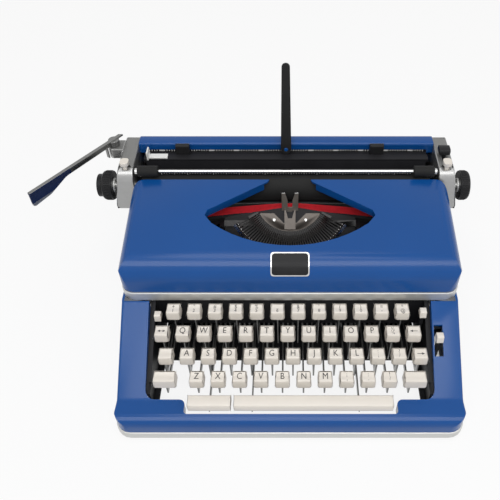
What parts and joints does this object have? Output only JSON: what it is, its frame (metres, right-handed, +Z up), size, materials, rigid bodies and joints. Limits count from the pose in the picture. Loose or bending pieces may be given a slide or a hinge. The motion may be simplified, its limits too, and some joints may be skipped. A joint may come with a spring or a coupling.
{
  "type": "portable manual typewriter",
  "caption": "Portable manual typewriter with a painted metal casing, lift-off ribbon cover, sliding carriage, platen, return lever and cream keys on sprung levers.",
  "frame": {"origin": "on the table under the middle of the whole object, carriage and return lever included", "axes": "+Z up, +Y to the rear of the machine, +X to the right of the person typing"},
  "size_m": [0.4192, 0.292, 0.2243],
  "materials": {
    "blue_paint": "gloss",
    "trim": "satin",
    "silver": "satin",
    "black_metal": "satin",
    "rubber": "matte",
    "ribbon": "matte",
    "grey_metal": "satin",
    "black_plastic": "satin",
    "cream_plastic": "gloss",
    "steel": "polished"
  },
  "bodies": {
    "chassis": {"lower_casing": "blue_paint", "base_trim": "trim", "cover_trim": "trim", "main_frame": "black_metal", "rubber_feet": "rubber", "carriage_rails": "steel", "ribbon": "ribbon"},
    "cover": {"ribbon_cover": "blue_paint"},
    "carriage": {"carriage_bed": "black_metal", "left_end_plate": "silver", "right_end_plate": "silver", "paper_rest": "blue_paint", "margin_rail": "black_metal", "paper_pan": "black_metal"},
    "platen": {"platen": "rubber", "platen_shaft": "steel", "left_knob": "black_plastic", "right_knob": "black_plastic"},
    "bail": {"paper_bail": "steel"},
    "bail_rollers": {"bail_rollers": "rubber"},
    "return_lever": {"return_lever": "steel"},
    "paper_support": {"paper_support": "black_plastic"},
    "margin_stop_left": {"margin_stop_left": "black_plastic"},
    "margin_stop_right": {"margin_stop_right": "black_plastic"},
    "paper_guide": {"paper_guide": "silver"},
    "release_left": {"carriage_release_left": "cream_plastic"},
    "release_right": {"carriage_release_right": "cream_plastic"},
    "paper_release": {"paper_release_lever": "black_plastic"},
    "basket": {"typebar_segment": "steel", "type_guide": "grey_metal", "typebars": "steel"},
    "typebar": {"typebar_h": "steel"},
    "vibrator": {"ribbon_vibrator": "steel"},
    "left_spool": {"left_spool": "black_metal"},
    "right_spool": {"right_spool": "black_metal"},
    "drum": {"mainspring_drum": "steel"},
    "space_bar": {"space_bar": "cream_plastic"},
    "repeat_space_key": {"repeat_space_key": "cream_plastic"},
    "shift_lock_key": {"shift_lock_key": "cream_plastic"},
    "margin_release_key": {"margin_release_key": "cream_plastic"},
    "backspace_key": {"backspace_key": "cream_plastic"},
    "tab_key": {"tab_key": "cream_plastic"},
    "key_a": {"key_a": "cream_plastic"},
    "key_s": {"key_s": "cream_plastic"},
    "key_d_letter": {"key_d_letter": "cream_plastic"},
    "key_f": {"key_f": "cream_plastic"},
    "key_g": {"key_g": "cream_plastic"},
    "key_h_letter": {"key_h_letter": "cream_plastic"},
    "key_j": {"key_j": "cream_plastic"},
    "key_k": {"key_k": "cream_plastic"},
    "key_l": {"key_l": "cream_plastic"},
    "key_semicolon": {"key_semicolon": "cream_plastic"},
    "key_question": {"key_question": "cream_plastic"},
    "number_row_keys": {"number_row_keys": "cream_plastic"},
    "upper_row_keys": {"upper_row_keys": "cream_plastic"},
    "lower_row_keys": {"lower_row_keys": "cream_plastic"},
    "shift_keys": {"shift_keys": "cream_plastic"},
    "ribbon_reverse_lever": {"ribbon_reverse_lever": "cream_plastic"},
    "colour_selector": {"colour_selector": "cream_plastic"},
    "touch_control": {"touch_control": "cream_plastic"}
  },
  "joints": [
    {"name": "cover_lift", "type": "slide", "parent": "chassis", "child": "cover", "axis": [0, 0, 1], "range_m": [0, 0.06]},
    {"name": "carriage_travel", "type": "slide", "parent": "chassis", "child": "carriage", "axis": [-1, 0, 0], "range_m": [-0.115, 0.111]},
    {"name": "platen_turn", "type": "hinge", "parent": "carriage", "child": "platen", "pos_m": [0.027, 0.07175, 0.115], "axis": [1, 0, 0], "continuous": true},
    {"name": "bail_lift", "type": "hinge", "parent": "carriage", "child": "bail", "pos_m": [0.027, 0.09325, 0.117], "axis": [-1, 0, 0], "range_deg": [0, 22]},
    {"name": "bail_roller_turn", "type": "hinge", "parent": "bail", "child": "bail_rollers", "pos_m": [0.027, 0.06711, 0.13681], "axis": [1, 0, 0], "continuous": true},
    {"name": "return_lever_swing", "type": "hinge", "parent": "carriage", "child": "return_lever", "pos_m": [-0.147, 0.10425, 0.145], "axis": [0, 0, 1], "range_deg": [0, 40], "stiffness_Nm_per_rad": 0.2, "springref_deg": -17.19},
    {"name": "paper_support_fold", "type": "hinge", "parent": "carriage", "child": "paper_support", "pos_m": [0.027, 0.10025, 0.138], "axis": [0, -0.9781, 0.2079], "range_deg": [0, 90]},
    {"name": "margin_stop_left_slide", "type": "slide", "parent": "carriage", "child": "margin_stop_left", "axis": [-1, 0, 0], "range_m": [-0.08, 0.025]},
    {"name": "margin_stop_right_slide", "type": "slide", "parent": "carriage", "child": "margin_stop_right", "axis": [1, 0, 0], "range_m": [-0.07, 0.03]},
    {"name": "paper_guide_slide", "type": "slide", "parent": "carriage", "child": "paper_guide", "axis": [1, 0, 0], "range_m": [0, 0.1]},
    {"name": "carriage_release_left_press", "type": "slide", "parent": "carriage", "child": "release_left", "axis": [0, 0, -1], "range_m": [0, 0.003], "stiffness_N_per_m": 300, "springref_m": -0.003},
    {"name": "carriage_release_right_press", "type": "slide", "parent": "carriage", "child": "release_right", "axis": [0, 0, -1], "range_m": [0, 0.003], "stiffness_N_per_m": 300, "springref_m": -0.003},
    {"name": "paper_release_pull", "type": "hinge", "parent": "carriage", "child": "paper_release", "pos_m": [0.1845, 0.09075, 0.112], "axis": [1, 0, 0], "range_deg": [0, 12]},
    {"name": "basket_shift", "type": "slide", "parent": "chassis", "child": "basket", "axis": [0, 0, 1], "range_m": [-0.0065, 0]},
    {"name": "typebar_h_swing", "type": "hinge", "parent": "basket", "child": "typebar", "pos_m": [0.032, 0.02627, 0.08602], "axis": [-0.9997, -0.0172, -0.0172], "range_deg": [0, 118]},
    {"name": "vibrator_lift", "type": "slide", "parent": "chassis", "child": "vibrator", "axis": [0, 0, 1], "range_m": [0, 0.008]},
    {"name": "left_spool_turn", "type": "hinge", "parent": "chassis", "child": "left_spool", "pos_m": [-0.073, 0.02025, 0.1], "axis": [0, 0, 1], "continuous": true},
    {"name": "right_spool_turn", "type": "hinge", "parent": "chassis", "child": "right_spool", "pos_m": [0.135, 0.02025, 0.1], "axis": [0, 0, 1], "continuous": true},
    {"name": "drum_turn", "type": "hinge", "parent": "chassis", "child": "drum", "pos_m": [-0.06641, 0.12505, 0.062], "axis": [0, 1, 0], "range_deg": [-380, 380]},
    {"name": "space_bar_press", "type": "hinge", "parent": "chassis", "child": "space_bar", "pos_m": [0.031, 0.08555, 0.03], "axis": [1, 0, 0], "range_deg": [0, 4.3], "stiffness_Nm_per_rad": 0.6, "springref_deg": -8.59},
    {"name": "repeat_space_key_press", "type": "hinge", "parent": "chassis", "child": "repeat_space_key", "pos_m": [0.031, 0.08555, 0.03], "axis": [1, 0, 0], "range_deg": [0, 4.3], "stiffness_Nm_per_rad": 0.6, "springref_deg": -8.59},
    {"name": "shift_lock_key_press", "type": "hinge", "parent": "chassis", "child": "shift_lock_key", "pos_m": [0.031, 0.08555, 0.03], "axis": [1, 0, 0], "range_deg": [0, 4.3], "stiffness_Nm_per_rad": 0.6, "springref_deg": -8.59},
    {"name": "margin_release_key_press", "type": "hinge", "parent": "chassis", "child": "margin_release_key", "pos_m": [0.031, 0.08555, 0.03], "axis": [1, 0, 0], "range_deg": [0, 4.3], "stiffness_Nm_per_rad": 0.6, "springref_deg": -8.59},
    {"name": "backspace_key_press", "type": "hinge", "parent": "chassis", "child": "backspace_key", "pos_m": [0.031, 0.08555, 0.03], "axis": [1, 0, 0], "range_deg": [0, 4.3], "stiffness_Nm_per_rad": 0.6, "springref_deg": -8.59},
    {"name": "tab_key_press", "type": "hinge", "parent": "chassis", "child": "tab_key", "pos_m": [0.031, 0.08555, 0.03], "axis": [1, 0, 0], "range_deg": [0, 4.3], "stiffness_Nm_per_rad": 0.6, "springref_deg": -8.59},
    {"name": "key_a_press", "type": "hinge", "parent": "chassis", "child": "key_a", "pos_m": [0.031, 0.08555, 0.03], "axis": [1, 0, 0], "range_deg": [0, 4.3], "stiffness_Nm_per_rad": 0.6, "springref_deg": -8.59},
    {"name": "key_s_press", "type": "hinge", "parent": "chassis", "child": "key_s", "pos_m": [0.031, 0.08555, 0.03], "axis": [1, 0, 0], "range_deg": [0, 4.3], "stiffness_Nm_per_rad": 0.6, "springref_deg": -8.59},
    {"name": "key_d_letter_press", "type": "hinge", "parent": "chassis", "child": "key_d_letter", "pos_m": [0.031, 0.08555, 0.03], "axis": [1, 0, 0], "range_deg": [0, 4.3], "stiffness_Nm_per_rad": 0.6, "springref_deg": -8.59},
    {"name": "key_f_press", "type": "hinge", "parent": "chassis", "child": "key_f", "pos_m": [0.031, 0.08555, 0.03], "axis": [1, 0, 0], "range_deg": [0, 4.3], "stiffness_Nm_per_rad": 0.6, "springref_deg": -8.59},
    {"name": "key_g_press", "type": "hinge", "parent": "chassis", "child": "key_g", "pos_m": [0.031, 0.08555, 0.03], "axis": [1, 0, 0], "range_deg": [0, 4.3], "stiffness_Nm_per_rad": 0.6, "springref_deg": -8.59},
    {"name": "key_h_letter_press", "type": "hinge", "parent": "chassis", "child": "key_h_letter", "pos_m": [0.031, 0.08555, 0.03], "axis": [1, 0, 0], "range_deg": [0, 4.3], "stiffness_Nm_per_rad": 0.6, "springref_deg": -8.59},
    {"name": "key_j_press", "type": "hinge", "parent": "chassis", "child": "key_j", "pos_m": [0.031, 0.08555, 0.03], "axis": [1, 0, 0], "range_deg": [0, 4.3], "stiffness_Nm_per_rad": 0.6, "springref_deg": -8.59},
    {"name": "key_k_press", "type": "hinge", "parent": "chassis", "child": "key_k", "pos_m": [0.031, 0.08555, 0.03], "axis": [1, 0, 0], "range_deg": [0, 4.3], "stiffness_Nm_per_rad": 0.6, "springref_deg": -8.59},
    {"name": "key_l_press", "type": "hinge", "parent": "chassis", "child": "key_l", "pos_m": [0.031, 0.08555, 0.03], "axis": [1, 0, 0], "range_deg": [0, 4.3], "stiffness_Nm_per_rad": 0.6, "springref_deg": -8.59},
    {"name": "key_semicolon_press", "type": "hinge", "parent": "chassis", "child": "key_semicolon", "pos_m": [0.031, 0.08555, 0.03], "axis": [1, 0, 0], "range_deg": [0, 4.3], "stiffness_Nm_per_rad": 0.6, "springref_deg": -8.59},
    {"name": "key_question_press", "type": "hinge", "parent": "chassis", "child": "key_question", "pos_m": [0.031, 0.08555, 0.03], "axis": [1, 0, 0], "range_deg": [0, 4.3], "stiffness_Nm_per_rad": 0.6, "springref_deg": -8.59},
    {"name": "number_row_keys_press", "type": "hinge", "parent": "chassis", "child": "number_row_keys", "pos_m": [0.031, 0.08555, 0.03], "axis": [1, 0, 0], "range_deg": [0, 4.3], "stiffness_Nm_per_rad": 7.2, "springref_deg": -8.59},
    {"name": "upper_row_keys_press", "type": "hinge", "parent": "chassis", "child": "upper_row_keys", "pos_m": [0.031, 0.08555, 0.03], "axis": [1, 0, 0], "range_deg": [0, 4.3], "stiffness_Nm_per_rad": 6.6, "springref_deg": -8.59},
    {"name": "lower_row_keys_press", "type": "hinge", "parent": "chassis", "child": "lower_row_keys", "pos_m": [0.031, 0.08555, 0.03], "axis": [1, 0, 0], "range_deg": [0, 4.3], "stiffness_Nm_per_rad": 6, "springref_deg": -8.59},
    {"name": "shift_keys_press", "type": "hinge", "parent": "chassis", "child": "shift_keys", "pos_m": [0.031, 0.08555, 0.03], "axis": [-1, 0, 0], "range_deg": [-4.3, 0], "stiffness_Nm_per_rad": 1.5, "springref_deg": 20.05},
    {"name": "ribbon_reverse_lever_set", "type": "hinge", "parent": "chassis", "child": "ribbon_reverse_lever", "pos_m": [-0.09041, -0.05745, 0.04], "axis": [1, 0, 0], "range_deg": [-8, 8]},
    {"name": "colour_selector_set", "type": "hinge", "parent": "chassis", "child": "colour_selector", "pos_m": [0.15241, -0.05745, 0.04], "axis": [1, 0, 0], "range_deg": [-8, 8]},
    {"name": "touch_control_set", "type": "hinge", "parent": "chassis", "child": "touch_control", "pos_m": [0.16641, -0.07765, 0.025], "axis": [1, 0, 0], "range_deg": [-8, 8]}
  ],
  "couplings": [
    {"joint": "basket_shift", "follows": "shift_keys_press", "m_per_rad": 0.08528},
    {"joint": "typebar_h_swing", "follows": "key_h_letter_press", "ratio": 27.4},
    {"joint": "right_spool_turn", "follows": "left_spool_turn", "ratio": 1},
    {"joint": "drum_turn", "follows": "carriage_travel", "rad_per_m": 55}
  ]
}
